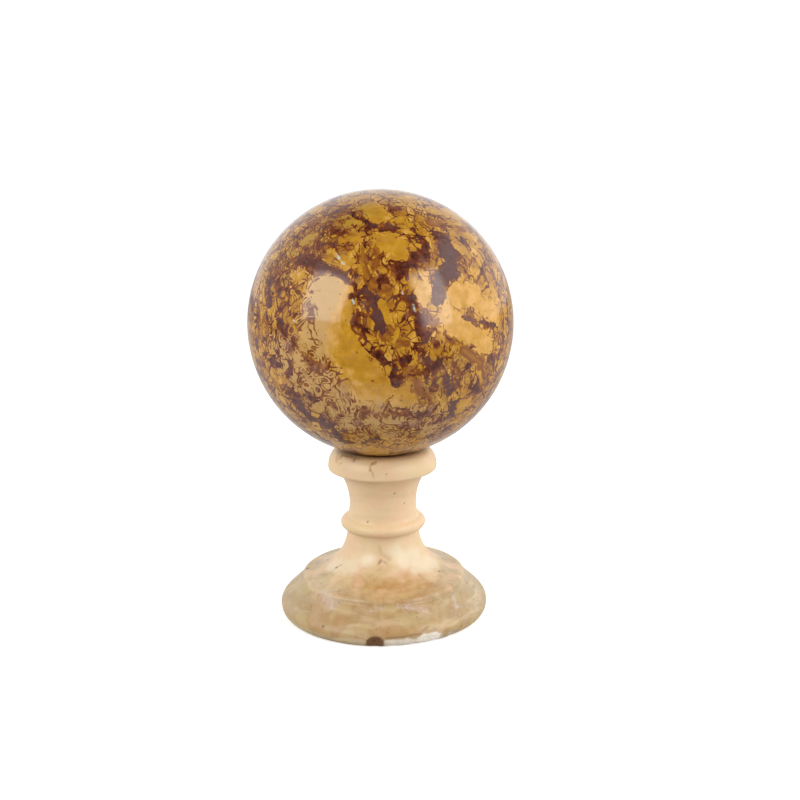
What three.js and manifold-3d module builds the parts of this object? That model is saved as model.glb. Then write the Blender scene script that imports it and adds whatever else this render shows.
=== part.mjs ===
// Polished stone sphere resting in the cup of a turned stone stand.
// Millimetres, +Z up, -Y is the front. The origin is the middle of the stand's flat underside.

import * as THREE from 'three';
import { mergeVertices } from 'three/addons/utils/BufferGeometryUtils.js';
import Module from 'manifold-3d';

// Sphere
const SPHERE_DIAMETER = 100;

// Stand: heights of its turned members, stacked from the ground up
const FOOT_BELLY_HEIGHT = 3.6; // ground to the widest line of the foot
const FOOT_SHOULDER_HEIGHT = 9.1; // widest line to the step
const PLATE_WALL_HEIGHT = 0.5; // upright edge of the plate on the foot
const PLATE_ROUND_HEIGHT = 2.3; // rounded upper edge of that plate
const COVE_HEIGHT = 16.4; // long hollow curve up to the waist
const WAIST_HEIGHT = 1.2; // straight bit under the bead
const BEAD_HEIGHT = 4.7;
const NECK_HEIGHT = 14.5; // slim hollow stem above the bead
const FLARE_HEIGHT = 4.4; // underside of the cup
const CUP_EDGE_HEIGHT = 0.7; // rounded lower corner of the cup
const CUP_HEIGHT = 7.5; // corner to the flat lip

// Stand: widths
const FOOT_DIAMETER = 81.6;
const FOOT_UNDERCUT = 2.0; // how far the foot draws in at the ground
const FOOT_SHOULDER = 8.0; // how far it draws in at the step
const STEP_WIDTH = 0.5;
const PLATE_ROUND = 2.5;
const WAIST_DIAMETER = 28.2;
const BEAD_PROJECTION = 2.6;
const NECK_DIAMETER = 27.8; // where the neck leaves the bead
const NECK_WAISTING = 1.3; // how far its hollow bows in
const NECK_TOP_DIAMETER = 30.0;
const CUP_DIAMETER = 42.2;
const CUP_EDGE = 1.9;
const CUP_ROUND = 4.1; // run of the rounded side onto the lip
const LIP_WIDTH = 3.5; // flat ring between that round and the seat
const SEAT_CLEARANCE = 0.3; // between the sphere and the dish it sits in

// Chips in the foot's edge. Azimuth in degrees, 270 is the front.
const CHIPS = [
  { azimuth: 196, height: 4.0, radius: 2.2, depth: 0.8 },
  { azimuth: 265, height: 0.9, radius: 4.2, depth: 0.9 },
  { azimuth: 309, height: 0.4, radius: 3.0, depth: 0.5 },
];

// Fineness of the facets
const SPHERE_SEGMENTS = 60;
const SPHERE_RINGS = 30;
const STAND_SEGMENTS = 56;
const CHIP_SEGMENTS = 12;

// Places that follow from the sizes
const sphereRadius = SPHERE_DIAMETER / 2;
const footRadius = FOOT_DIAMETER / 2;
const groundRadius = footRadius - FOOT_UNDERCUT;
const stepRadius = footRadius - FOOT_SHOULDER;
const plateRadius = stepRadius - STEP_WIDTH;
const plateTopRadius = plateRadius - PLATE_ROUND;
const waistRadius = WAIST_DIAMETER / 2;
const neckRadius = NECK_DIAMETER / 2;
const neckTopRadius = NECK_TOP_DIAMETER / 2;
const cupRadius = CUP_DIAMETER / 2;
const cupCornerRadius = cupRadius - CUP_EDGE;
const lipRadius = cupRadius - CUP_ROUND;
const seatRadius = lipRadius - LIP_WIDTH;

const stepZ = FOOT_BELLY_HEIGHT + FOOT_SHOULDER_HEIGHT;
const plateRoundZ = stepZ + PLATE_WALL_HEIGHT;
const plateTopZ = plateRoundZ + PLATE_ROUND_HEIGHT;
const waistZ = plateTopZ + COVE_HEIGHT;
const beadZ = waistZ + WAIST_HEIGHT;
const neckZ = beadZ + BEAD_HEIGHT;
const flareZ = neckZ + NECK_HEIGHT;
const cupEdgeZ = flareZ + FLARE_HEIGHT;
const cupZ = cupEdgeZ + CUP_EDGE_HEIGHT;
const lipZ = cupZ + CUP_HEIGHT;

// The sphere is centred where the dish, a clearance larger than it, meets the inner edge of the lip.
const dishRadius = sphereRadius + SEAT_CLEARANCE;
const sphereZ = lipZ + Math.sqrt(dishRadius ** 2 - seatRadius ** 2);

function line(r0, z0, r1, z1) {
  return new THREE.LineCurve(new THREE.Vector2(r0, z0), new THREE.Vector2(r1, z1));
}

// Part of an ellipse, with its angles in degrees
function arc(r, z, width, height, from, to) {
  const start = THREE.MathUtils.degToRad(from);
  const end = THREE.MathUtils.degToRad(to);
  return new THREE.EllipseCurve(r, z, width, height, start, end, end < start, 0);
}

// A fair curve between two points. Each handle is a share of the member's own width and height.
function sweep(r0, z0, leave, r1, z1, arrive) {
  const width = r1 - r0;
  const height = z1 - z0;
  return new THREE.CubicBezierCurve(
    new THREE.Vector2(r0, z0),
    new THREE.Vector2(r0 + leave[0] * width, z0 + leave[1] * height),
    new THREE.Vector2(r1 - arrive[0] * width, z1 - arrive[1] * height),
    new THREE.Vector2(r1, z1),
  );
}

// The neck bows in between its two ends, so its handles are set by the bow and not by its width.
function bowed(r0, z0, r1, z1, bow) {
  const third = (z1 - z0) / 3;
  return new THREE.CubicBezierCurve(
    new THREE.Vector2(r0, z0),
    new THREE.Vector2(r0 - bow, z0 + third),
    new THREE.Vector2(r1 - bow * 1.6, z1 - third),
    new THREE.Vector2(r1, z1),
  );
}

// Outline of the stand from the middle of its underside up to the middle of the dish
function standProfile() {
  const beadHalf = BEAD_HEIGHT / 2;
  const seatAngle = THREE.MathUtils.radToDeg(Math.asin(seatRadius / dishRadius));
  const members = [
    [line(0, 0, groundRadius, 0), 1],
    [arc(groundRadius, FOOT_BELLY_HEIGHT, FOOT_UNDERCUT, FOOT_BELLY_HEIGHT, -90, 0), 4],
    [sweep(footRadius, FOOT_BELLY_HEIGHT, [0, 0.29], stepRadius, stepZ, [0.52, 0.48]), 5],
    [line(stepRadius, stepZ, plateRadius, stepZ), 1],
    [line(plateRadius, stepZ, plateRadius, plateRoundZ), 1],
    [arc(plateTopRadius, plateRoundZ, PLATE_ROUND, PLATE_ROUND_HEIGHT, 0, 90), 3],
    [sweep(plateTopRadius, plateTopZ, [0.5, 0.08], waistRadius, waistZ, [0.07, 0.6]), 8],
    [line(waistRadius, waistZ, waistRadius, beadZ), 1],
    [arc(waistRadius, beadZ + beadHalf, BEAD_PROJECTION, beadHalf, -90, 90), 6],
    [bowed(neckRadius, neckZ, neckTopRadius, flareZ, NECK_WAISTING), 5],
    [sweep(neckTopRadius, flareZ, [0.12, 0.45], cupCornerRadius, cupEdgeZ, [0.5, 0.14]), 4],
    [arc(cupCornerRadius, cupZ, CUP_EDGE, CUP_EDGE_HEIGHT, -90, 0), 2],
    [sweep(cupRadius, cupZ, [-0.1, 0.42], lipRadius, lipZ, [0.72, 0]), 6],
    [line(lipRadius, lipZ, seatRadius, lipZ), 1],
    [arc(0, sphereZ, dishRadius, dishRadius, -90 + seatAngle, -90), 4],
  ];
  const points = [];
  for (const [curve, steps] of members) {
    for (const point of curve.getPoints(steps)) {
      const last = points.at(-1);
      if (!last || last.distanceTo(point) > 0.01) points.push(point);
    }
  }
  points.at(0).x = 0;
  points.at(-1).x = 0;
  return points;
}

// Radius of the foot's edge at a height up to about its widest line
function footRadiusAt(z) {
  const rise = (FOOT_BELLY_HEIGHT - z) / FOOT_BELLY_HEIGHT;
  return groundRadius + FOOT_UNDERCUT * Math.sqrt(Math.max(0, 1 - rise ** 2));
}

const wasm = await Module();
wasm.setup();

// A closed solid from a three.js geometry, without the flat triangles that sit on its axis
function solidOf(geometry) {
  const bare = geometry.clone();
  bare.deleteAttribute('normal');
  bare.deleteAttribute('uv');
  const merged = mergeVertices(bare, 1e-4);
  const corners = merged.index.array;
  const triangles = [];
  for (let i = 0; i < corners.length; i += 3) {
    const [a, b, c] = [corners[i], corners[i + 1], corners[i + 2]];
    if (a !== b && b !== c && c !== a) triangles.push(a, b, c);
  }
  return new wasm.Manifold(
    new wasm.Mesh({
      numProp: 3,
      vertProperties: new Float32Array(merged.attributes.position.array),
      triVerts: new Uint32Array(triangles),
    }),
  );
}

function geometryOf(solid) {
  const mesh = solid.getMesh();
  const geometry = new THREE.BufferGeometry();
  geometry.setAttribute('position', new THREE.BufferAttribute(mesh.vertProperties, 3));
  geometry.setIndex(new THREE.BufferAttribute(mesh.triVerts, 1));
  geometry.computeVertexNormals();
  return geometry;
}

// A shallow scallop, a ball pushed into the foot's side until it reaches its depth
function chipGeometry({ azimuth, height, radius, depth }) {
  const angle = THREE.MathUtils.degToRad(azimuth);
  const reach = footRadiusAt(height) + radius - depth;
  const ball = new THREE.SphereGeometry(radius, CHIP_SEGMENTS, CHIP_SEGMENTS / 2);
  ball.rotateX(Math.PI / 2);
  ball.translate(reach * Math.cos(angle), reach * Math.sin(angle), height);
  return ball;
}

function sphere() {
  const geometry = new THREE.SphereGeometry(sphereRadius, SPHERE_SEGMENTS, SPHERE_RINGS);
  geometry.rotateX(Math.PI / 2);
  const jasper = new THREE.MeshStandardMaterial({ color: '#8a5a3c', roughness: 0.08, metalness: 0 });
  const mesh = new THREE.Mesh(geometry, jasper);
  mesh.name = 'stone_sphere';
  mesh.position.z = sphereZ;
  return mesh;
}

function stand() {
  const turned = new THREE.LatheGeometry(standProfile(), STAND_SEGMENTS);
  turned.rotateX(Math.PI / 2);
  let solid = solidOf(turned);
  for (const chip of CHIPS) {
    solid = solid.subtract(solidOf(chipGeometry(chip)));
  }
  const marble = new THREE.MeshStandardMaterial({ color: '#cdbf9c', roughness: 0.3, metalness: 0 });
  const mesh = new THREE.Mesh(geometryOf(solid), marble);
  mesh.name = 'turned_stand';
  return mesh;
}

const group = new THREE.Group();
group.add(stand());
group.add(sphere());

export default group;
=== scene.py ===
import math

import bpy
import numpy as np
from bpy.props import FloatProperty, FloatVectorProperty, IntProperty, PointerProperty
from bpy.types import Operator, Panel, PropertyGroup
from mathutils import Matrix, Vector, noise


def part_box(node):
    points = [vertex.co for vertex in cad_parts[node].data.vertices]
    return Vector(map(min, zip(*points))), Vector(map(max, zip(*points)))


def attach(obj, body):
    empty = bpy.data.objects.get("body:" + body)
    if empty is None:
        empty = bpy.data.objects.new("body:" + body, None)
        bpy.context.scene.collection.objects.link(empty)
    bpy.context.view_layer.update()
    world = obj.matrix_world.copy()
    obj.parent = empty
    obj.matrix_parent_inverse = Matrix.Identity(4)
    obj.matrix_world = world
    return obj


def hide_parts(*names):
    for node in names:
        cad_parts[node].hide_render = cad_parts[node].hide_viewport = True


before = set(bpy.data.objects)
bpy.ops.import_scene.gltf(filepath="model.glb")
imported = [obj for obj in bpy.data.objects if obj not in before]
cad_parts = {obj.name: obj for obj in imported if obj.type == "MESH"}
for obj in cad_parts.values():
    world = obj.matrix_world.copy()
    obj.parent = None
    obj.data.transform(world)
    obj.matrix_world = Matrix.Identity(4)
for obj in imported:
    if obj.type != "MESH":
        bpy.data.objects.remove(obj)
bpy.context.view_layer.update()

bl_info = {
    "name": "Stone Sphere on a Turned Stand",
    "version": (1, 0, 0),
    "blender": (4, 5, 0),
    "location": "View3D > Sidebar > Ornament",
    "description": "Builds a polished stone sphere, its turned marble stand and a small studio",
    "category": "Add Mesh",
}

MM = 0.001
SPHERE_NODE = "stone_sphere"
STAND_NODE = "turned_stand"
SPHERE_LOW, SPHERE_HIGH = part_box(SPHERE_NODE)
SPHERE_CENTRE = (SPHERE_LOW + SPHERE_HIGH) / 2
SPHERE_DIAMETER = SPHERE_HIGH.z - SPHERE_LOW.z
STAND_LOW, STAND_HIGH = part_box(STAND_NODE)

# Figure of the ball's stone, in millimetres across and up from the middle of the ball as the
# camera sees it. Each mark is a run of points and the half width of that run.
CALM_AREAS = [
    ([(-17.9, -0.6), (-15.1, -8.3), (-9.5, -15.3), (-2.5, -24.0)], 6.0),
    ([(-19.0, 10.5), (-16.5, 5.5)], 6.5),
    ([(28.5, 10.0), (36.2, 8.4), (42.5, 2.2)], 3.6),
    ([(24.8, 3.0), (31.3, -2.7), (39.0, -9.0)], 4.0),
    ([(16.2, 13.0), (16.6, 10.0)], 2.9),
    ([(-3.2, 43.0), (-1.7, 40.0)], 3.2),
    ([(10.0, 46.0), (12.3, 45.1)], 2.2),
    ([(20.0, 41.6), (28.5, 40.2)], 1.5),
    ([(1.7, 30.4), (7.4, 26.8)], 3.6),
    ([(8.8, -26.6), (8.1, -29.0)], 3.1),
    ([(-9.9, 31.8), (-9.0, 31.8)], 1.9),
    ([(-11.5, 37.7), (-7.5, 37.7)], 1.5),
    ([(-27.0, 31.6), (-25.8, 32.0)], 2.1),
    ([(28.8, 29.2), (31.2, 27.0)], 1.4),
    ([(35.0, 30.6), (36.0, 30.2)], 2.0),
    ([(42.3, 12.6), (42.7, 11.6)], 1.6),
    ([(30.4, -31.7), (31.8, -30.2)], 2.2),
    ([(36.7, -18.0), (39.0, -23.0)], 1.2),
    ([(48.0, 5.0), (48.4, 2.0)], 1.5),
    ([(-31.3, -16.0), (-32.0, -11.8)], 1.8),
    ([(-6.0, -36.4), (-4.6, -36.4)], 2.2),
    ([(0.8, 6.4), (2.6, 1.5)], 1.3),
    ([(11.8, -12.4), (12.8, -12.6)], 1.5),
    ([(-24.3, -31.5), (-22.9, -31.5)], 1.5),
]
DARK_STROKES = [
    ([(-10.8, 10.4), (-10.4, 5.8), (-9.5, -0.6), (-6.0, -4.1)], 1.2),
    ([(-6.0, 13.5), (-3.2, 8.6), (-1.1, 2.9), (0.7, -2.7)], 1.6),
    ([(-0.4, -11.8), (3.9, -16.0), (5.3, -22.4)], 2.1),
    ([(7.4, -15.3), (10.9, -12.5)], 1.5),
    ([(12.3, 9.3), (14.8, 1.5), (16.5, -6.2)], 1.6),
    ([(17.6, -13.8), (20.8, -15.6)], 1.9),
    ([(22.8, 31.8), (27.1, 25.4), (26.4, 19.8), (22.8, 14.5), (21.0, 9.0)], 2.7),
    ([(5.3, 21.2), (11.6, 21.9), (13.0, 24.7)], 1.9),
    ([(0.3, 16.3), (5.3, 15.6), (8.8, 18.4)], 1.5),
    ([(-9.5, 40.9), (-6.0, 38.1), (-1.1, 35.6), (7.4, 35.3)], 1.3),
    ([(-29.9, 24.0), (-22.9, 21.9), (-15.8, 19.8), (-12.3, 17.0)], 1.9),
    ([(-43.3, 18.4), (-40.4, 14.2), (-41.1, 7.2)], 1.9),
    ([(-38.0, 0.8), (-36.2, -4.8)], 1.6),
    ([(-47.5, -4.1), (-43.3, -11.8), (-38.3, -15.3)], 1.4),
    ([(30.6, 2.2), (36.9, 0.1), (43.9, -2.0)], 1.2),
    ([(23.5, -5.0), (29.9, -7.6), (36.9, -11.3), (43.6, -13.9)], 0.6),
    ([(24.2, -21.7), (26.4, -28.0), (25.7, -35.0), (20.0, -36.4)], 1.1),
    ([(32.7, -16.0), (36.2, -21.0), (36.2, -25.9)], 0.9),
    ([(-34.8, -25.2), (-27.8, -27.3), (-23.6, -28.0)], 0.9),
    ([(-31.3, -29.4), (-26.4, -35.7), (-21.5, -37.8)], 1.8),
    ([(-19.3, -38.5), (-15.1, -44.2), (-6.7, -44.9), (-1.1, -42.1)], 1.1),
    ([(45.3, 7.2), (46.0, -8.3)], 0.6),
    ([(13.0, 33.9), (17.2, 30.4), (15.8, 26.1)], 1.4),
    ([(28.5, 31.8), (36.2, 25.4), (39.7, 15.6)], 0.6),
    ([(46.7, -16.0), (43.2, -21.0)], 0.9),
    ([(10.9, -35.7), (15.8, -34.3), (20.0, -31.5)], 0.9),
    ([(-12.3, 34.6), (-5.3, 34.4)], 0.8),
]
BROWN_STROKES = [
    ([(-6.0, 27.5), (-7.0, 23.3), (-5.6, 18.4), (-2.8, 14.2), (1.8, 13.5), (6.0, 15.6)], 2.0),
    ([(-2.5, 26.8), (-1.1, 24.0), (-2.1, 21.2)], 1.3),
    ([(10.9, -19.0), (14.8, -26.0), (18.0, -30.0)], 1.5),
    ([(1.5, -4.2), (3.5, -6.0)], 2.0),
    ([(4.7, -6.3), (9.8, -7.6)], 1.2),
    ([(25.0, -5.6), (30.0, -9.3)], 0.9),
    ([(31.0, -10.2), (34.5, -13.0), (37.5, -15.4)], 1.9),
    ([(38.2, -17.4), (38.8, -21.5)], 1.1),
    ([(18.5, 37.5), (24.0, 35.6), (31.0, 35.0)], 1.7),
]
# Where thin writing-like lines take over, where the stone is broken up most finely, and where
# the fragments are paler
WORM_AREAS = [
    ([(-34.0, -12.0), (-24.0, -24.0), (-12.0, -34.0), (2.0, -38.0), (16.0, -38.0)], 9.0),
    ([(-21.0, 14.0), (-25.0, 2.0), (-25.0, -12.0)], 6.0),
]
FINE_AREAS = [
    ([(-38.0, 20.0), (-26.0, 32.0), (-12.0, 40.0)], 9.0),
    ([(22.0, -24.0), (30.0, -14.0)], 6.0),
]
PALE_AREAS = [
    ([(16.0, 14.0), (16.5, 8.0)], 4.0),
    ([(28.0, 9.0), (40.0, 2.0)], 8.0),
    ([(24.0, 2.0), (38.0, -9.0)], 7.0),
    ([(-20.0, 16.0), (-24.0, 2.0), (-25.0, -14.0), (-14.0, -30.0), (0.0, -36.0)], 8.0),
]
# Where the dark network is greyer
PLUM_AREAS = [
    ([(25.0, 27.0), (27.5, 21.0), (23.0, 13.0), (21.5, 7.0)], 3.2),
    ([(24.2, -21.7), (26.4, -28.0), (25.7, -35.0)], 3.0),
    ([(-4.5, 11.5), (-1.5, 4.0), (0.5, -2.0)], 1.6),
    ([(-42.5, 16.0), (-41.0, 6.0)], 2.5),
    ([(18.6, -14.6), (21.4, -16.0)], 2.2),
    ([(30.6, 2.2), (43.9, -2.0)], 1.6),
    ([(-30.0, -30.0), (-22.0, -37.0)], 2.0),
    ([(-20.0, 22.0), (-13.0, 19.0)], 2.0),
    ([(33.0, 14.0), (36.0, 10.5)], 1.6),
]
# Grains of quartz, pale and glassy, together with painted glints: pale spots painted where the
# polish catches the light
QUARTZ_AND_GLINTS = [
    ([(-16.2, 26.9), (-15.4, 24.6), (-13.4, 22.3)], 0.35),
    ([(-10.4, 9.3), (-10.0, 7.4)], 0.35),
    ([(12.3, 6.9), (13.0, 4.6)], 0.45),
    ([(8.2, 11.8), (8.6, 11.0)], 0.4),
    ([(21.8, 26.3), (21.9, 25.9)], 0.35),
    ([(15.6, -31.8), (16.0, -32.0)], 0.35),
    ([(-32.6, 1.8), (-32.1, 1.2)], 0.5),
]

# Small dents in the polish that catch the light: millimetres across, up, radius and depth
DENTS = [
    (-10.2, 8.4, 1.1, 0.10),
    (12.6, 5.8, 1.3, 0.10),
    (-14.8, 24.6, 1.5, 0.10),
]

# Damage to the stand. Azimuth is in degrees with 270 at the front, the rest in millimetres.
# Chips and pits are azimuth, height, radius and depth.
CHIPS = [
    (192, 4.2, 2.6, 1.0),
    (265, 0.9, 4.2, 0.9),
    (309, 0.4, 3.0, 0.5),
]
PITS = [
    (288, 50.4, 0.5, 0.35),
    (308, 45.5, 0.4, 0.3),
    (244, 38.8, 0.45, 0.3),
    (274, 60.3, 0.4, 0.25),
    (235, 5.6, 0.7, 0.45),
    (206, 19.5, 0.8, 0.3),
    (178, 15.4, 0.9, 0.3),
    (336, 17.5, 0.7, 0.3),
]
# The brown filler: azimuth, height and radius
FILLED_CHIP = (265, 1.5, 3.6)
BRUISED_EDGE = {"start": 268, "end": 303, "height": 3.6, "depth": 0.3}
# Cracks and stains are a run of azimuths and heights, its half width, and how dark it is.
CRACKS = [
    ([(262.5, 64.5), (261.5, 63.9)], 0.8, 1.0),
    ([(259.5, 61.3), (260, 60.4), (261.5, 59.6)], 0.4, 0.8),
    ([(264.5, 24.0), (266, 24.6)], 0.75, 0.8),
    ([(266, 24.6), (271, 24.2), (275, 23.4)], 0.4, 0.55),
    ([(263, 29.6), (266, 27.2), (277, 25.0)], 1.2, 0.22),
    ([(271, 4.0), (281, 4.2), (289, 4.6)], 0.6, 0.6),
    ([(289, 4.8), (294, 6.4)], 0.6, 0.6),
    ([(308, 18.9), (314, 16.2)], 0.5, 0.3),
    ([(206, 19.5), (211, 20.6)], 0.5, 0.6),
    ([(213, 64.6), (214, 63.6)], 0.6, 0.9),
    ([(218, 64.8), (226, 64.8)], 0.5, 0.5),
    ([(235, 64.8), (236, 64.0)], 0.6, 0.9),
    ([(216, 61.8), (221, 62.6)], 0.5, 0.3),
]
STAINS = [
    ([(259.5, 64.2), (256.8, 62.9), (257.3, 61.6)], 0.5, 0.9),
    ([(214, 64.7), (226, 64.8), (240, 64.8)], 0.9, 0.5),
    ([(206, 63.8), (211, 62.6)], 0.8, 0.4),
]
# Scars of crushed white stone, places where the cove is palest, and pockets of small crystals:
# a run of azimuths and heights, and its half width
WHITE_SCARS = [
    ([(290.5, 2.2), (297.5, 2.2)], 1.9),
]
PALE_PATCHES = [
    ([(288, 27.5), (300, 24.0), (318, 24.5)], 3.2),
    ([(312, 21.0), (340, 20.0)], 3.0),
    ([(196, 19.5), (212, 20.4), (228, 21.4)], 3.2),
    ([(244, 24.0), (252, 25.0)], 1.6),
    ([(60, 24.0), (95, 21.0)], 3.4),
    ([(135, 20.0), (160, 23.0)], 3.0),
]
CRYSTAL_POCKETS = [
    ([(224, 14.4), (236, 11.6)], 2.0),
    ([(280, 12.8), (296, 10.8)], 1.3),
    ([(262, 12.2), (268, 12.6)], 0.8),
    ([(318, 9.0), (322, 12.0)], 1.0),
    ([(160, 8.0), (171, 10.0)], 1.6),
    ([(60, 11.0), (75, 13.0)], 1.8),
    ([(110, 6.0), (117, 8.0)], 1.4),
]


def linear(code):
    """Linear RGBA of an sRGB hex colour."""
    parts = [int(code[i : i + 2], 16) / 255 for i in (1, 3, 5)]
    turned = [c / 12.92 if c <= 0.04045 else ((c + 0.055) / 1.055) ** 2.4 for c in parts]
    return (*turned, 1.0)


def colour_setting(name, code, description):
    return FloatVectorProperty(
        name=name,
        description=description,
        subtype="COLOR",
        size=4,
        min=0,
        max=1,
        default=linear(code),
    )


def length_setting(name, millimetres, description):
    return FloatProperty(
        name=name, description=description, default=millimetres * MM, unit="LENGTH"
    )


class SphereSettings(PropertyGroup):
    """Fineness and colours of the ball of calligraphy stone."""

    rows: IntProperty(
        name="Rows",
        description="Rows of faces along one side of the cube that is rounded into the ball",
        default=120,
        min=8,
    )
    honey: colour_setting("Honey", "#DCA85A", "Lighter fragments")
    mustard: colour_setting("Mustard", "#C08C26", "Broad calm areas of the stone")
    ochre: colour_setting("Ochre", "#A57024", "Duller fragments")
    brown: colour_setting("Brown", "#8C521E", "Rims of the dark figure and the brown swirls")
    maroon: colour_setting("Maroon", "#672E18", "Dark figure")
    umber: colour_setting("Umber", "#3C160A", "Darkest splinters")
    plum: colour_setting("Plum", "#5E403C", "Greyer parts of the dark figure")
    lilac: colour_setting("Lilac", "#B0846C", "Tinge over some of the fragments")
    buff: colour_setting("Buff", "#BC965E", "Ground of the script")
    olive: colour_setting("Olive", "#A08838", "Fragments where they are smallest")
    # Colour of the quartz grains and of the painted glints
    quartz_and_glint: colour_setting("Quartz", "#C8CCBA", "Glassy grains")


class StandSettings(PropertyGroup):
    """Sizes of the turned stand, from the ground up, and its colours."""

    foot_diameter: length_setting(
        "Foot", (STAND_HIGH.x - STAND_LOW.x) / MM, "Widest diameter of the foot"
    )
    belly_height: length_setting("Belly height", 3.6, "Ground to the foot's widest line")
    shoulder_height: length_setting("Shoulder height", 9.1, "Widest line to the step")
    plate_wall: length_setting("Plate wall", 0.5, "Upright edge of the plate on the foot")
    plate_round_height: length_setting("Plate round height", 2.3, "Height of its rounding")
    cove_height: length_setting("Cove height", 16.4, "Long hollow curve up to the waist")
    waist_height: length_setting("Waist height", 1.2, "Straight bit under the bead")
    bead_height: length_setting("Bead height", 4.7, "Height of the bead")
    neck_height: length_setting("Neck height", 14.5, "Slim stem above the bead")
    flare_height: length_setting("Flare height", 4.4, "Underside of the cup")
    cup_edge_height: length_setting("Cup edge height", 0.7, "Rounded lower corner of the cup")
    foot_undercut: length_setting("Foot undercut", 2.0, "How far the foot draws in below")
    foot_shoulder: length_setting("Foot shoulder", 8.0, "How far it draws in at the step")
    step_width: length_setting("Step", 0.5, "Width of the step under the plate")
    plate_round: length_setting("Plate round", 2.5, "Run of the plate's rounding")
    waist_diameter: length_setting("Waist", 28.2, "Diameter under the bead")
    bead_projection: length_setting("Bead projection", 2.6, "How far the bead stands out")
    neck_diameter: length_setting("Neck", 27.8, "Diameter where the neck leaves the bead")
    neck_waisting: length_setting("Neck waisting", 1.3, "How far the neck bows in")
    neck_top_diameter: length_setting("Neck top", 30.0, "Diameter under the cup's flare")
    cup_diameter: length_setting("Cup", 42.2, "Diameter of the cup")
    cup_edge: length_setting("Cup edge", 1.9, "Run of the cup's rounded lower corner")
    cup_round: length_setting("Cup round", 4.1, "Run of the rounded side onto the lip")
    lip_width: length_setting("Lip", 3.5, "Flat ring between that round and the seat")
    cream: colour_setting("Cream", "#E4C79F", "Cup, neck and cove")
    rosy: colour_setting("Rosy", "#E6BE9A", "Soft patches in the stem")
    khaki: colour_setting("Khaki", "#B59F79", "Foot and plate")
    bedding: colour_setting("Bedding", "#B8945E", "Darker layers")
    # Colour of the painted warm shade on the front of the plate and foot
    front_shade: colour_setting("Amber", "#B48140", "Warm band on the plate")


class StudioSettings(PropertyGroup):
    """Camera and lights."""

    camera_distance: length_setting("Camera distance", 416.3, "From the axis, level")
    camera_height: length_setting("Camera height", 176.2, "Above the floor")
    camera_pitch: FloatProperty(
        name="Pitch",
        description="How far the camera looks down",
        default=math.radians(12.53),
        subtype="ANGLE",
    )
    camera_yaw: FloatProperty(
        name="Yaw",
        description="How far the camera looks to the right of the axis",
        default=math.radians(0.97),
        subtype="ANGLE",
    )
    camera_roll: FloatProperty(
        name="Roll", description="Tilt of the camera", default=math.radians(0.5), subtype="ANGLE"
    )
    lens: FloatProperty(name="Lens", description="Focal length in millimetres", default=50.0)
    tent: FloatProperty(
        name="Tent", description="Brightness of the white tent all round", default=0.7
    )
    right_wall: FloatProperty(
        name="Right wall", description="Brightness of the tent on the right", default=1.35
    )
    roof: FloatProperty(
        name="Roof", description="Brightness of the open top of the tent", default=0.07
    )
    softboxes: FloatProperty(
        name="Softboxes", description="Brightness of the lit panels", default=3.2
    )
    fill: FloatProperty(
        name="Fill", description="Brightness of the panels at the sides", default=0.92
    )


def camera_place(studio):
    return Vector((0, -studio.camera_distance, studio.camera_height))


def add(tree, kind, inputs=(), out=0, **settings):
    """Adds one shader node and returns one of its outputs.

    Inputs are values or other nodes' outputs, in the order of the sockets or under their names.
    """
    made = tree.nodes.new("ShaderNode" + kind)
    for name, value in settings.items():
        setattr(made, name, value)
    pairs = inputs.items() if isinstance(inputs, dict) else enumerate(inputs)
    for socket, value in pairs:
        if isinstance(value, bpy.types.NodeSocket):
            tree.links.new(value, made.inputs[socket])
        else:
            made.inputs[socket].default_value = value
    return made.outputs[out]


def new_material(name):
    material = bpy.data.materials.new(name)
    material.use_nodes = True
    material.node_tree.nodes.clear()
    return material, material.node_tree


def finish_material(tree, shader):
    output = tree.nodes.new("ShaderNodeOutputMaterial")
    tree.links.new(shader, output.inputs["Surface"])


def millimetres(tree):
    """Place in the piece, in millimetres from its origin."""
    place = add(tree, "TexCoord", out="Object")
    return add(tree, "VectorMath", {0: place, "Scale": 1 / MM}, operation="SCALE")


def warped(tree, place, size, reach, detail=2.0):
    """A place pushed about by soft noise of that feature size, by up to about that reach."""
    drift = add(tree, "TexNoise", {"Vector": place, "Scale": 1 / size, "Detail": detail}, "Color")
    centred = add(tree, "VectorMath", (drift, (0.5, 0.5, 0.5)), operation="SUBTRACT")
    pushed = add(tree, "VectorMath", {0: centred, "Scale": 2 * reach}, operation="SCALE")
    return add(tree, "VectorMath", (place, pushed), operation="ADD")


def area(tree, name, ragged, low, high):
    """From 0 to 1 across the ragged border of the marks stored on the points under that name."""
    reach = add(tree, "Attribute", out="Fac", attribute_name=name)
    torn = add(tree, "Math", (reach, ragged), operation="ADD")
    return add(tree, "MapRange", (torn, low, high), interpolation_type="SMOOTHSTEP")


def fragments(tree, place, size):
    """Broken pieces of that size: how far in each point lies, and two random numbers a piece."""
    cells = {"Vector": place, "Scale": 1 / size}
    tint = add(tree, "TexVoronoi", cells, "Color")
    gap = add(tree, "TexVoronoi", cells, "Distance", feature="DISTANCE_TO_EDGE")
    bite = add(tree, "SeparateColor", (tint,), "Red")
    tone = add(tree, "SeparateColor", (tint,), "Green")
    return gap, bite, tone


def network(tree, gap, bite, seam):
    """Dark stuff that reaches that far into the pieces, as a share of their size."""
    reach = add(tree, "Math", (bite, 0.10, seam), operation="MULTIPLY_ADD")
    inside = add(tree, "Math", (reach, gap), operation="SUBTRACT")
    return add(tree, "MapRange", (inside, -0.035, 0.025), interpolation_type="SMOOTHSTEP")


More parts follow.
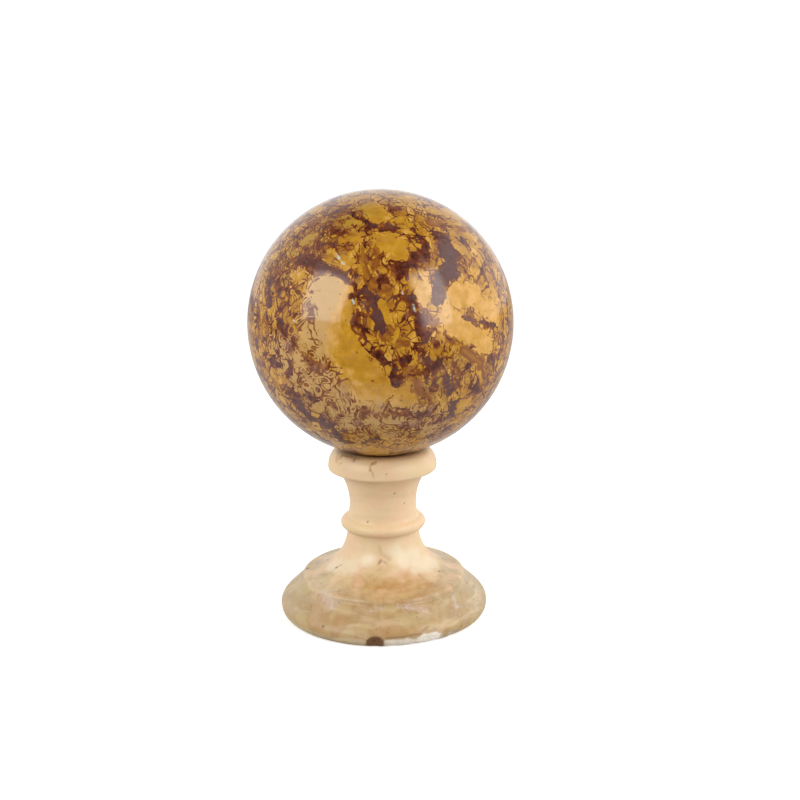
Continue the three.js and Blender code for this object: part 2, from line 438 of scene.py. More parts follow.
def calligraphy_stone(settings):
    """Calligraphy stone, a fossil-bearing mustard jasper, ground round and polished to a gloss.

    The eye gets mustard fragments in a maroon and brown network, broad calm areas, thin lines
    that curl like writing, and over it all a clear wet-looking shine.
    """
    material, tree = new_material("polished_calligraphy_stone")
    place = millimetres(tree)
    swayed = warped(tree, place, 13.0, 2.3, 1.0)
    drifted = warped(tree, swayed, 4.2, 0.75, 1.0)
    crinkled = warped(tree, drifted, 1.3, 0.16, 1.0)
    leaning = add(
        tree,
        "Mapping",
        (crinkled, (0, 0, 0), (0, math.radians(-35), 0), (1.18, 1.0, 0.8)),
    )
    rough = add(tree, "TexNoise", {"Vector": place, "Scale": 1 / 2.2, "Detail": 3.0})
    ragged = add(tree, "MapRange", (rough, 0.0, 1.0, -1.2, 1.2))

    # Fragments of three sizes. The borders of all areas follow the two larger ones.
    gap_5, bite_5, tone_5 = fragments(tree, leaning, 5.6)
    gap_3, bite_3, tone_3 = fragments(tree, leaning, 3.0)
    gap_1, bite_1, tone_1 = fragments(tree, crinkled, 1.7)
    for bite in (bite_3, bite_5):
        stepped = add(tree, "Math", (bite, 0.5), operation="SUBTRACT")
        ragged = add(tree, "Math", (stepped, 2.3, ragged), operation="MULTIPLY_ADD")

    calm, dark, brown, worm, fine, pale = (
        area(tree, name, ragged, low, high)
        for name, low, high in (
            ("calm", -0.4, 0.5),
            ("dark", -1.0, 0.8),
            ("brown", -0.5, 0.4),
            ("worm", -3.0, 3.0),
            ("fine", -3.0, 3.0),
            ("pale", -3.0, 2.0),
        )
    )
    loud = add(tree, "Math", (1.0, calm), operation="SUBTRACT")

    # How far the dark network reaches into the fragments: it swells and closes over a few
    # millimetres, is widest in the dark strokes and stays out of the calm areas
    swell = add(tree, "TexNoise", {"Vector": swayed, "Scale": 1 / 6.0, "Detail": 2.0})
    seam = add(tree, "MapRange", (swell, 0.34, 0.66, -0.07, 0.06), clamp=False)
    for share, weight in ((dark, 0.135), (calm, -0.34), (brown, -0.24)):
        seam = add(tree, "Math", (share, weight, seam), operation="MULTIPLY_ADD")
    coarse = add(tree, "Math", (worm, -0.07, seam), operation="MULTIPLY_ADD")
    net_5 = network(tree, gap_5, bite_5, coarse)
    middling = add(tree, "Math", (fine, 0.04, coarse), operation="MULTIPLY_ADD")
    net_3 = network(tree, gap_3, bite_3, middling)
    small = add(tree, "Math", (fine, 0.12, seam), operation="MULTIPLY_ADD")
    small = add(tree, "Math", (small, 0.06), operation="SUBTRACT")
    net_1 = network(tree, gap_1, bite_1, small)

    # Script: level lines of a soft noise, which curl and close on themselves like writing
    curl = add(tree, "TexNoise", {"Vector": swayed, "Scale": 1 / 3.0, "Detail": 0.3})
    level = add(tree, "Math", (curl, 0.1), operation="PINGPONG")
    pen = add(tree, "TexNoise", {"Vector": place, "Scale": 1 / 4.5, "Detail": 1.0})
    pen = add(tree, "MapRange", (pen, 0.36, 0.64, -0.06, 0.045), clamp=False)
    pen = add(tree, "Math", (worm, 0.056, pen), operation="MULTIPLY_ADD")
    stroke = add(tree, "Math", (pen, level), operation="SUBTRACT")
    script = add(tree, "MapRange", (stroke, -0.02, 0.012), interpolation_type="SMOOTHSTEP")
    script = add(tree, "Math", (script, loud), operation="MULTIPLY")

    # How dark the stone is, from 0 for pale mustard to 1 for the darkest maroon
    cloud = add(
        tree, "TexNoise", {"Vector": place, "Scale": 1 / 4.0, "Detail": 5.0, "Roughness": 0.68}
    )
    depth = add(tree, "MapRange", (cloud, 0.3, 0.7, 0.12, 0.36))
    for tone, strength in ((tone_5, 0.18), (tone_3, 0.22), (tone_1, 0.12)):
        swing = add(tree, "Math", (tone, 0.5), operation="SUBTRACT")
        swing = add(tree, "Math", (swing, loud), operation="MULTIPLY")
        depth = add(tree, "Math", (swing, strength, depth), operation="MULTIPLY_ADD")
    depth = add(tree, "Math", (pale, -0.16, depth), operation="MULTIPLY_ADD")
    stuff = add(
        tree, "TexNoise", {"Vector": crinkled, "Scale": 1 / 2.2, "Detail": 5.0, "Roughness": 0.65}
    )
    stuff = add(tree, "MapRange", (stuff, 0.34, 0.66, 0.50, 0.98))
    stuff = add(tree, "Math", (dark, 0.10, stuff), operation="MULTIPLY_ADD")
    stuff = add(tree, "Math", (pale, -0.10, stuff), operation="MULTIPLY_ADD")
    for net, strength in ((net_5, 1.0), (net_3, 0.96), (net_1, 0.80), (script, 0.98)):
        level = add(tree, "Math", (net, strength), operation="MULTIPLY")
        level = add(tree, "Math", (level, stuff), operation="MULTIPLY")
        depth = add(tree, "Math", (depth, level), operation="MAXIMUM")

    # The dark strokes are solid in the middle
    torn = add(tree, "Math", (ragged, 0.5), operation="MULTIPLY")
    core = area(tree, "dark", torn, 0.3, 0.9)
    core_depth = add(tree, "MapRange", (stuff, 0.5, 1.0, 0.66, 0.98))
    core = add(tree, "Math", (core, core_depth), operation="MULTIPLY")
    depth = add(tree, "Math", (depth, core), operation="MAXIMUM")

    # Brown swirls, with flow lines along them
    flow = add(tree, "Attribute", out="Fac", attribute_name="brown")
    flow = add(tree, "Math", (rough, 0.8, flow), operation="MULTIPLY_ADD")
    flow = add(tree, "Math", (flow, 1.1), operation="PINGPONG")
    swirl = add(tree, "MapRange", (flow, 0.1, 1.0, 0.46, 0.6))
    swirl = add(tree, "Math", (swirl, brown), operation="MULTIPLY")
    depth = add(tree, "Math", (depth, swirl), operation="MAXIMUM")

    # Brown specks, under a millimetre, in the calm areas as well
    speck = add(tree, "TexVoronoi", {"Vector": drifted, "Scale": 1 / 2.8}, "Distance")
    speck = add(tree, "MapRange", (speck, 0.22, 0.1), interpolation_type="SMOOTHSTEP")
    speck_gate = add(tree, "MapRange", (swell, 0.40, 0.6, 0.05, 0.34))
    speck = add(tree, "Math", (speck, speck_gate), operation="MULTIPLY")
    depth = add(tree, "Math", (depth, speck), operation="ADD")

    ramp = add(tree, "ValToRGB", (depth,), "Color")
    steps = (
        (0.0, settings.honey),
        (0.2, settings.mustard),
        (0.38, settings.ochre),
        (0.56, settings.brown),
        (0.78, settings.maroon),
        (1.0, settings.umber),
    )
    band = ramp.node.color_ramp
    while len(band.elements) < len(steps):
        band.elements.new(0.5)
    for stop, (position, colour) in zip(band.elements, steps):
        stop.position = position
        stop.color = colour

    # Plum in the thick of the dark figure, a lilac tinge over some of the pale fragments, and
    # olive ones where the stone is broken up finely
    plum_cloud = add(
        tree, "TexNoise", {"Vector": place, "Scale": 1 / 5.0, "Detail": 4.0, "Roughness": 0.6}
    )
    plum = add(tree, "MapRange", (plum_cloud, 0.52, 0.66, 0.0, 0.7))
    plum_place = area(tree, "plum", ragged, -1.5, 1.5)
    plum_share = add(tree, "MapRange", (plum_cloud, 0.4, 0.6, 0.35, 0.9))
    plum_place = add(tree, "Math", (plum_place, plum_share), operation="MULTIPLY")
    plum = add(tree, "Math", (plum, plum_place), operation="MAXIMUM")
    deep = add(tree, "MapRange", (depth, 0.5, 0.75), interpolation_type="SMOOTHSTEP")
    plum = add(tree, "Math", (plum, deep), operation="MULTIPLY")
    colour = add(tree, "MixRGB", (plum, ramp, settings.plum))
    tinge = add(tree, "MapRange", (plum_cloud, 0.48, 0.38, 0.0, 0.5))
    tinged = add(tree, "MapRange", (tone_3, 0.4, 0.6, 0.1, 1.0))
    tinge = add(tree, "Math", (tinge, tinged), operation="MULTIPLY")
    tinge_share = add(tree, "Math", (worm, 0.7, 0.3), operation="MULTIPLY_ADD")
    tinge = add(tree, "Math", (tinge, tinge_share), operation="MULTIPLY")
    colour = add(tree, "MixRGB", (tinge, colour, settings.lilac))
    shallow = add(tree, "MapRange", (depth, 0.5, 0.3))
    buff = add(tree, "Math", (worm, shallow), operation="MULTIPLY")
    buff = add(tree, "Math", (buff, 0.75), operation="MULTIPLY")
    colour = add(tree, "MixRGB", (buff, colour, settings.buff))
    olive = add(tree, "Math", (fine, shallow), operation="MULTIPLY")
    olive = add(tree, "Math", (olive, 0.35), operation="MULTIPLY")
    colour = add(tree, "MixRGB", (olive, colour, settings.olive))

    # Quartz grains, and painted glints: pale spots that stand in for highlights on the polish
    uneven = add(tree, "MapRange", (rough, 0.3, 0.7, -0.35, 0.25))
    quartz_and_glint = area(tree, "quartz_and_glint", uneven, -0.2, 0.3)
    colour = add(tree, "MixRGB", (quartz_and_glint, colour, settings.quartz_and_glint))

    # The harder pale stone stands a little proud of the dark seams, and the polish waves slightly
    wave = add(tree, "TexNoise", {"Vector": place, "Scale": 1 / 9.0, "Detail": 1.0})
    height = add(tree, "Math", (depth, -0.05, wave), operation="MULTIPLY_ADD")
    bump = add(tree, "Bump", {"Height": height, "Strength": 0.1, "Distance": 0.3 * MM}, "Normal")
    gloss = add(tree, "MapRange", (depth, 0.3, 0.9, 0.11, 0.15))
    shader = add(
        tree,
        "BsdfPrincipled",
        {"Base Color": colour, "Roughness": gloss, "IOR": 1.5, "Normal": bump},
    )
    finish_material(tree, shader)
    return material


def stained(tree, colour, name, strength, code):
    """The colour with a hex colour laid over it where the points say so, at most that strongly."""
    share = add(tree, "Attribute", out="Fac", attribute_name=name)
    share = add(tree, "Math", (share, strength), operation="MULTIPLY")
    return add(tree, "MixRGB", (share, colour, linear(code)))


def cream_marble(settings):
    """Banded cream marble, turned on a lathe and honed to a soft shine.

    The eye gets a warm, slightly glowing cream stem that turns khaki and cloudier in the foot,
    with thin bedding lines, small dark pits and pale crushed stone where the edge is knocked.
    """
    material, tree = new_material("honed_cream_marble")
    place = millimetres(tree)
    height = add(tree, "SeparateXYZ", (place,), "Z")

    cloud = add(
        tree, "TexNoise", {"Vector": place, "Scale": 1 / 9.0, "Detail": 4.0, "Roughness": 0.6}
    )
    edge = add(tree, "Math", (cloud, 20.0, height), operation="MULTIPLY_ADD")
    foot = add(tree, "MapRange", (edge, 30.0, 22.0), interpolation_type="SMOOTHSTEP")
    colour = add(tree, "MixRGB", (foot, settings.cream, settings.khaki))

    # Bedding: layers about 3 mm thick that run nearly level through the block
    layers = add(
        tree,
        "Mapping",
        (
            warped(tree, place, 15.0, 2.5),
            (0, 0, 0),
            (math.radians(8), math.radians(-5), 0),
            (1 / 24, 1 / 24, 1 / 3.0),
        ),
    )
    bedding = add(tree, "TexNoise", {"Vector": layers, "Scale": 1.0, "Detail": 5.0})
    layered = add(tree, "MapRange", (foot, 0.0, 1.0, 0.25, 1.0))
    darker = add(tree, "MapRange", (bedding, 0.48, 0.66, 0.0, 0.5))
    darker = add(tree, "Math", (darker, layered), operation="MULTIPLY")
    colour = add(tree, "MixRGB", (darker, colour, settings.bedding))
    paler = add(tree, "MapRange", (bedding, 0.48, 0.34, 0.0, 0.5))
    paler = add(tree, "Math", (paler, layered), operation="MULTIPLY")
    colour = add(tree, "MixRGB", (paler, colour, linear("#E4CCA6")))

    # Painted warm shade on the front of the plate and foot, broken up by the bedding
    front_shade = add(tree, "Attribute", out="Fac", attribute_name="front_shade")
    front_shade_share = add(tree, "MapRange", (bedding, 0.35, 0.6, 0.4, 0.85))
    front_shade = add(tree, "Math", (front_shade, front_shade_share), operation="MULTIPLY")
    colour = add(tree, "MixRGB", (front_shade, colour, settings.front_shade))

    # Soft patches, 5 to 10 mm wide, in the finer stone of the stem
    patch = add(tree, "TexNoise", {"Vector": place, "Scale": 1 / 8.0, "Detail": 2.5})
    rosy = add(tree, "MapRange", (patch, 0.5, 0.62, 0.0, 0.5))
    stem = add(tree, "MapRange", (foot, 0.0, 1.0, 1.0, 0.35))
    rosy = add(tree, "Math", (rosy, stem), operation="MULTIPLY")
    colour = add(tree, "MixRGB", (rosy, colour, settings.rosy))
    sallow = add(tree, "MapRange", (patch, 0.48, 0.38, 0.0, 0.3))
    colour = add(tree, "MixRGB", (sallow, colour, linear("#D6C08A")))

    colour = stained(tree, colour, "pale", 0.6, "#E8DABC")

    # Crystal-filled pockets, pale and a little lilac
    crystal = add(tree, "Attribute", out="Fac", attribute_name="crystal")
    sugar = add(
        tree, "TexNoise", {"Vector": place, "Scale": 1 / 1.8, "Detail": 4.0, "Roughness": 0.7}
    )
    pocket = add(tree, "Math", (sugar, 2.6, crystal), operation="MULTIPLY_ADD")
    pocket = add(tree, "MapRange", (pocket, 1.7, 2.5, 0.0, 0.5))
    colour = add(tree, "MixRGB", (pocket, colour, linear("#D9C6BC")))

    # Thin brown veins that come and go, only in the foot
    vein_place = warped(tree, place, 5.0, 1.4)
    vein = add(tree, "TexNoise", {"Vector": vein_place, "Scale": 1 / 10.0, "Detail": 3.0})
    vein = add(tree, "Math", (vein, 0.52), operation="SUBTRACT")
    vein = add(tree, "Math", (vein,), operation="ABSOLUTE")
    vein = add(tree, "MapRange", (vein, 0.008, 0.001), interpolation_type="SMOOTHSTEP")
    gate = add(tree, "TexNoise", {"Vector": place, "Scale": 1 / 6.0, "Detail": 2.0})
    gate = add(tree, "MapRange", (gate, 0.47, 0.6, 0.0, 0.6))
    vein = add(tree, "Math", (vein, gate), operation="MULTIPLY")
    vein = add(tree, "Math", (vein, foot), operation="MULTIPLY")
    colour = add(tree, "MixRGB", (vein, colour, linear("#8A7448")))

    # Flecks of clay, a millimetre or less, drawn out along the bedding
    fleck_place = add(tree, "Mapping", (place, (0, 0, 0), (0, 0, 0), (1.0, 1.0, 2.0)))
    fleck = add(tree, "TexVoronoi", {"Vector": fleck_place, "Scale": 1 / 2.6}, "Distance")
    fleck = add(tree, "MapRange", (fleck, 0.2, 0.1), interpolation_type="SMOOTHSTEP")
    fleck_gate = add(tree, "MapRange", (gate, 0.05, 0.4, 0.0, 0.7))
    fleck = add(tree, "Math", (fleck, fleck_gate), operation="MULTIPLY")
    fleck_foot = add(tree, "MapRange", (foot, 0.0, 1.0, 0.25, 1.0))
    fleck = add(tree, "Math", (fleck, fleck_foot), operation="MULTIPLY")
    colour = add(tree, "MixRGB", (fleck, colour, linear("#94804F")))

    # Crushed stone, stained crack, pits and the old brown filler
    bruise = add(tree, "Attribute", out="Fac", attribute_name="bruise")
    crush = add(tree, "TexNoise", {"Vector": place, "Scale": 1 / 1.2, "Detail": 4.0})
    crushed = add(tree, "MapRange", (crush, 0.35, 0.6, 0.75, 1.0))
    crushed = add(tree, "Math", (crushed, bruise), operation="MULTIPLY")
    colour = add(tree, "MixRGB", (crushed, colour, linear("#F8F0E2")))
    colour = stained(tree, colour, "stain", 1.0, "#B07C32")
    colour = stained(tree, colour, "pit", 0.8, "#664C2A")
    filler = add(tree, "Attribute", out="Fac", attribute_name="filler")
    filler_tone = add(tree, "MixRGB", (crush, linear("#5C3E1C"), linear("#84592C")))
    colour = add(tree, "MixRGB", (filler, colour, filler_tone))

    grit = add(
        tree, "TexNoise", {"Vector": place, "Scale": 1 / 0.8, "Detail": 3.0, "Roughness": 0.6}
    )
    relief = add(tree, "Math", (fleck, -1.5, grit), operation="MULTIPLY_ADD")
    relief = add(tree, "Math", (crushed, crush, relief), operation="MULTIPLY_ADD")
    bump = add(tree, "Bump", {"Height": relief, "Strength": 0.3, "Distance": 0.15 * MM}, "Normal")
    shine = add(tree, "MapRange", (cloud, 0.3, 0.7, 0.26, 0.42))
    shine = add(tree, "Math", (bruise, 0.4, shine), operation="MULTIPLY_ADD")
    shader = add(
        tree,
        "BsdfPrincipled",
        {
            "Base Color": colour,
            "Roughness": shine,
            "IOR": 1.49,
            "Normal": bump,
            "Subsurface Weight": 0.2,
            "Subsurface Radius": (1.0, 0.7, 0.4),
            "Subsurface Scale": 2.5 * MM,
        },
    )
    finish_material(tree, shader)
    return material


def piece(name, points, faces, fields, material):
    """A smooth mesh object from points in metres, with its named fields on the points."""
    mesh = bpy.data.meshes.new(name)
    mesh.from_pydata(points.tolist(), [], faces)
    mesh.shade_smooth()
    for field, values in fields.items():
        layer = mesh.attributes.new(field, "FLOAT", "POINT")
        layer.data.foreach_set("value", values.astype(np.float32))
    mesh.materials.append(material)
    made = bpy.data.objects.new(name, mesh)
    bpy.context.scene.collection.objects.link(made)
    return made


def rounded_cube(rows):
    """Unit points and square faces of a cube pushed out onto a ball, evenly spaced by angle."""
    turn = np.tan(np.linspace(-math.pi / 4, math.pi / 4, rows + 1))
    across, up = np.meshgrid(turn, turn, indexing="ij")
    flat = np.stack([np.ones_like(across), across, up], -1).reshape(-1, 3)
    index = np.arange((rows + 1) ** 2).reshape(rows + 1, rows + 1)
    quads = [index[:-1, :-1], index[1:, :-1], index[1:, 1:], index[:-1, 1:]]
    quads = np.stack(quads, -1).reshape(-1, 4)
    sides = [
        Matrix.Rotation(math.radians(90 * k), 3, "Z") for k in range(4)
    ] + [Matrix.Rotation(math.radians(90 * k), 3, "Y") for k in (1, 3)]
    points, faces = [], []
    for k, side in enumerate(sides):
        points.append(flat @ np.array(side).T)
        faces.append(quads + k * len(flat))
    points = np.concatenate(points)
    points /= np.linalg.norm(points, axis=1)[:, None]
    _, first, inverse = np.unique(
        np.round(points, 6), axis=0, return_index=True, return_inverse=True
    )
    return points[first], inverse.reshape(-1)[np.concatenate(faces)]


def seen_direction(studio, across, up):
    """Unit direction from the ball's centre to the spot the camera sees at that place."""
    radius = SPHERE_DIAMETER / 2
    toward = camera_place(studio) - SPHERE_CENTRE
    distance = toward.length
    toward.normalize()
    right = Vector((0, 0, 1)).cross(toward).normalized()
    above = toward.cross(right)
    share = math.hypot(across, up) * MM / radius
    edge_angle = math.asin(radius / distance)
    ray = math.atan(share * math.tan(edge_angle))
    turn = math.asin(min(1.0, math.sin(ray) * distance / radius)) - ray
    aside = right * across + above * up
    if aside.length > 0:
        aside.normalize()
    return toward * math.cos(turn) + aside * math.sin(turn)


def reach_of_runs(points, runs):
    """How far, in millimetres, each point is inside the nearest run, and negative outside it."""
    far_outside = -60.0
    best = np.full(len(points), far_outside)
    for run, half_width in runs:
        for start, end in zip(run[:-1], run[1:]):
            along = end - start
            share = np.clip((points - start) @ along / (along @ along), 0, 1)
            gap = np.linalg.norm(points - start - share[:, None] * along, axis=1)
            best = np.maximum(best, half_width - gap)
    return best


def runs_on_ball(studio, marks):
    radius = SPHERE_DIAMETER / 2 / MM
    return [
        ([np.array(seen_direction(studio, *spot)) * radius for spot in run], half_width)
        for run, half_width in marks
    ]


def hidden_runs(studio, count, stride, widths, seed):
    """Runs like the visible ones, strewn over the rest of the ball, with points a stride apart."""
    draw = np.random.default_rng(seed)
    radius = SPHERE_DIAMETER / 2 / MM
    toward = np.array(seen_direction(studio, 0, 0))
    runs = []
    while len(runs) < count:
        spot = draw.normal(size=3)
        spot /= np.linalg.norm(spot)
        heading = np.cross(spot, draw.normal(size=3))
        heading /= np.linalg.norm(heading)
        if spot @ toward > 0.1:
            continue
        run = [spot * radius]
        for _ in range(draw.integers(1, 4)):
            heading = heading + 0.5 * draw.normal(size=3)
            spot = spot + heading / np.linalg.norm(heading) * stride / radius
            spot /= np.linalg.norm(spot)
            run.append(spot * radius)
        runs.append((run, draw.uniform(*widths)))
    return runs


def noise_at(points, size, seed):
    """Soft noise from -1 to 1 at points in millimetres, with features of that size."""
    offset = Vector((seed * 17.3, seed * 5.1, seed * 9.7))
    return np.array([noise.noise(Vector(p) / size + offset) for p in points])


def build_sphere(context):
    settings = context.scene.ornament_sphere
    studio = context.scene.ornament_studio
    radius = SPHERE_DIAMETER / 2 / MM
    unit, faces = rounded_cube(settings.rows)
    points = unit * radius
    fields = {}
    for name, marks, count, stride, widths, seed in (
        ("calm", CALM_AREAS, 30, 8.0, (2.0, 6.0), 4),
        ("dark", DARK_STROKES, 34, 6.0, (0.8, 2.8), 11),
        ("brown", BROWN_STROKES, 14, 6.0, (1.2, 2.0), 23),
        ("worm", WORM_AREAS, 7, 12.0, (6.0, 9.0), 31),
        ("fine", FINE_AREAS, 6, 12.0, (6.0, 9.0), 47),
        ("pale", PALE_AREAS, 7, 10.0, (5.0, 8.0), 59),
        ("plum", PLUM_AREAS, 16, 5.0, (1.5, 3.0), 83),
        ("quartz_and_glint", QUARTZ_AND_GLINTS, 9, 1.0, (0.3, 0.5), 71),
    ):
        runs = runs_on_ball(studio, marks) + hidden_runs(studio, count, stride, widths, seed)
        fields[name] = reach_of_runs(points, runs)
    depth = np.zeros(len(points))
    for across, up, width, deep in DENTS:
        spot = np.array(seen_direction(studio, across, up)) * radius
        gap = np.linalg.norm(points - spot, axis=1)
        depth += deep * np.clip(1 - (gap / width) ** 2, 0, 1) ** 2
    points = unit * (radius - depth)[:, None]
    ball = piece(
        "calligraphy_stone_ball", points * MM, faces.tolist(), fields, calligraphy_stone(settings)
    )
    ball.location = SPHERE_CENTRE
    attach(ball, "root")
    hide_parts(SPHERE_NODE)


def line(r0, z0, r1, z1):
    share = np.linspace(0, 1, 40)[:, None]
    return np.array([[r0, z0]]) * (1 - share) + np.array([[r1, z1]]) * share


def arc(r, z, width, height, start, end):
    angle = np.radians(np.linspace(start, end, 60))
    return np.stack([r + width * np.cos(angle), z + height * np.sin(angle)], 1)


def cubic(first, second, third, fourth):
    t = np.linspace(0, 1, 80)[:, None]
    ends = (1 - t) ** 3 * np.array(first) + t**3 * np.array(fourth)
    return ends + 3 * (1 - t) ** 2 * t * np.array(second) + 3 * (1 - t) * t**2 * np.array(third)


def sweep(r0, z0, leave, r1, z1, arrive):
    """A fair curve. Each handle is a share of the member's own width and height."""
    width, height = r1 - r0, z1 - z0
    return cubic(
        (r0, z0),
        (r0 + leave[0] * width, z0 + leave[1] * height),
        (r1 - arrive[0] * width, z1 - arrive[1] * height),
        (r1, z1),
    )


def bowed(r0, z0, r1, z1, bow):
    third = (z1 - z0) / 3
    return cubic((r0, z0), (r0 - bow, z0 + third), (r1 - 1.6 * bow, z1 - third), (r1, z1))


def evenly(points, step):
    """The same line with its points a step apart."""
    lengths = np.concatenate([[0], np.cumsum(np.linalg.norm(np.diff(points, axis=0), axis=1))])
    count = max(2, int(round(lengths[-1] / step)) + 1)
    where = np.linspace(0, lengths[-1], count)
    return np.stack([np.interp(where, lengths, points[:, k]) for k in (0, 1)], 1)


def stand_profile(s, step):
    """Radius and height in metres, from the middle of the underside to the middle of the dish."""
    foot = s.foot_diameter / 2
    ground = foot - s.foot_undercut
    ledge = foot - s.foot_shoulder
    plate = ledge - s.step_width
    plate_top = plate - s.plate_round
    waist = s.waist_diameter / 2
    neck = s.neck_diameter / 2
    neck_top = s.neck_top_diameter / 2
    cup = s.cup_diameter / 2
    corner = cup - s.cup_edge
    lip = cup - s.cup_round
    seat = lip - s.lip_width
    ledge_z = s.belly_height + s.shoulder_height
    round_z = ledge_z + s.plate_wall
    plate_z = round_z + s.plate_round_height
    waist_z = plate_z + s.cove_height
    bead_z = waist_z + s.waist_height
    neck_z = bead_z + s.bead_height
    flare_z = neck_z + s.neck_height
    corner_z = flare_z + s.flare_height
    cup_z = corner_z + s.cup_edge_height
    lip_z = STAND_HIGH.z
    half = s.bead_height / 2
    dish = math.hypot(seat, SPHERE_CENTRE.z - lip_z)
    seat_angle = math.degrees(math.asin(seat / dish))
    members = [
        (line(0, 0, ground, 0), 10 * step),
        (arc(ground, s.belly_height, s.foot_undercut, s.belly_height, -90, 0), step),
        (sweep(foot, s.belly_height, (0, 0.29), ledge, ledge_z, (0.52, 0.48)), step),
        (line(ledge, ledge_z, plate, ledge_z), step),
        (line(plate, ledge_z, plate, round_z), step),
        (arc(plate_top, round_z, s.plate_round, s.plate_round_height, 0, 90), step),
        (sweep(plate_top, plate_z, (0.5, 0.08), waist, waist_z, (0.07, 0.6)), step),
        (line(waist, waist_z, waist, bead_z), step),
        (arc(waist, bead_z + half, s.bead_projection, half, -90, 90), step),
        (bowed(neck, neck_z, neck_top, flare_z, s.neck_waisting), step),
        (sweep(neck_top, flare_z, (0.12, 0.45), corner, corner_z, (0.5, 0.14)), step),
        (arc(corner, cup_z, s.cup_edge, s.cup_edge_height, -90, 0), step),
        (sweep(cup, cup_z, (-0.1, 0.42), lip, lip_z, (0.72, 0)), step),
        (line(lip, lip_z, seat, lip_z), step),
        (arc(0, SPHERE_CENTRE.z, dish, dish, -90 + seat_angle, -90), 4 * step),
    ]
    points = [np.zeros(2)]
    for member, spacing in members:
        for point in evenly(member, spacing):
            if np.linalg.norm(point - points[-1]) > step / 8:
                points.append(point)
    return np.array(points)


def softened(points, passes):
    """The turned outline with its corners worn round, and its two ends where they were."""
    worn = points.copy()
    for _ in range(passes):
        worn[1:-1] = (worn[:-2] + 2 * worn[1:-1] + worn[2:]) / 4
    return worn


def turned_mesh(profile, turns):
    """Points, outward normals and faces of the outline spun round the axis."""
    rings = profile[1:-1]
    slope = np.gradient(profile, axis=0)[1:-1]
    facing = np.stack([slope[:, 1], -slope[:, 0]], 1)
    facing /= np.linalg.norm(facing, axis=1)[:, None]
    angle = np.linspace(0, 2 * math.pi, turns, endpoint=False)
    spin = np.stack([np.cos(angle), np.sin(angle)], 1)

    def spun(pairs):
        """Pairs of radius and height, turned into one ring of points each."""
        level = np.broadcast_to(pairs[:, None, 1:], (len(pairs), turns, 1))
        return np.concatenate([pairs[:, None, :1] * spin, level], 2).reshape(-1, 3)

    count = len(rings) * turns
    index = np.arange(count).reshape(len(rings), turns)
    beside = np.roll(index, -1, axis=1)
    quads = np.stack([index[:-1], beside[:-1], beside[1:], index[1:]], -1).reshape(-1, 4)
    bottom, top = count, count + 1
    fans = [(bottom, int(b), int(a)) for a, b in zip(index[0], beside[0])]
    fans += [(top, int(a), int(b)) for a, b in zip(index[-1], beside[-1])]
    ends = np.array([[0, 0, profile[0, 1]], [0, 0, profile[-1, 1]]])
    end_normals = np.array([[0, 0, -1.0], [0, 0, 1.0]])
    points = np.concatenate([spun(rings), ends])
    normals = np.concatenate([spun(facing), end_normals])
    return points, normals, quads.tolist() + fans


def outline_radius(profile, z):
    """Radius of the stand's outside at a height, both in millimetres."""
    outside = profile[1 : np.argmax(profile[:, 1]) + 1]
    order = np.argsort(outside[:, 1], kind="stable")
    return float(np.interp(z, outside[order, 1], outside[order, 0]))


def spot_on_stand(profile, azimuth, z, outward=0.0):
    angle = math.radians(azimuth)
    reach = outline_radius(profile, z) + outward
    return np.array([reach * math.cos(angle), reach * math.sin(angle), z])


def reach_on_stand(profile, points, run, half_width):
    """How far, in millimetres, each point is inside a run of azimuths and heights."""
    spots = [spot_on_stand(profile, *place) for place in run]
    return reach_of_runs(points, [(spots, half_width)])


def covered(profile, points, marks, start, fade):
    """From 0 to 1 over the borders of several runs."""
    best = np.zeros(len(points))
    for run, half_width in marks:
        inside = reach_on_stand(profile, points, run, half_width)
        best = np.maximum(best, np.clip(start + inside / fade, 0, 1))
    return best


def scooped(points, normals, centre, radius):
    """How far each point has to sink, along its normal, to lie on a ball pushed into it."""
    away = points - centre
    along = np.einsum("ij,ij->i", away, normals)
    inside = along**2 - np.einsum("ij,ij->i", away, away) + radius**2
    sink = along + np.sqrt(np.maximum(inside, 0))
    return np.where(inside > 0, np.clip(sink, 0, 2 * radius), 0)


